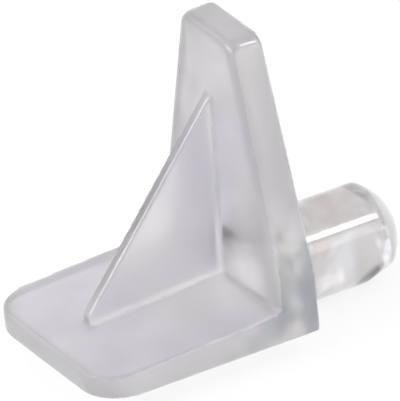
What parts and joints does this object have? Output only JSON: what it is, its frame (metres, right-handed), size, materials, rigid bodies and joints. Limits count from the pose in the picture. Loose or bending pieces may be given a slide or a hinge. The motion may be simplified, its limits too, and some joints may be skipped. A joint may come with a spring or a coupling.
{
  "type": "shelf support pin",
  "caption": "Clear plastic shelf support with a round peg behind a tapered upright plate, and a flat shelf plate braced by a thin triangular rib.",
  "frame": {"origin": "on the peg axis, at the seat face that meets the cabinet side", "axes": "+Y out along the peg, +X across the width, +Z from the shelf plate to the top of the upright plate; in use the part is turned over about the peg, so the bearing face at -Z carries the shelf"},
  "size_m": [0.0148, 0.0253, 0.0212],
  "materials": {
    "clear_plastic": "clear, glossy, with a faint haze"
  },
  "bodies": {
    "root": {"shelf_support": "clear_plastic"}
  },
  "joints": []
}
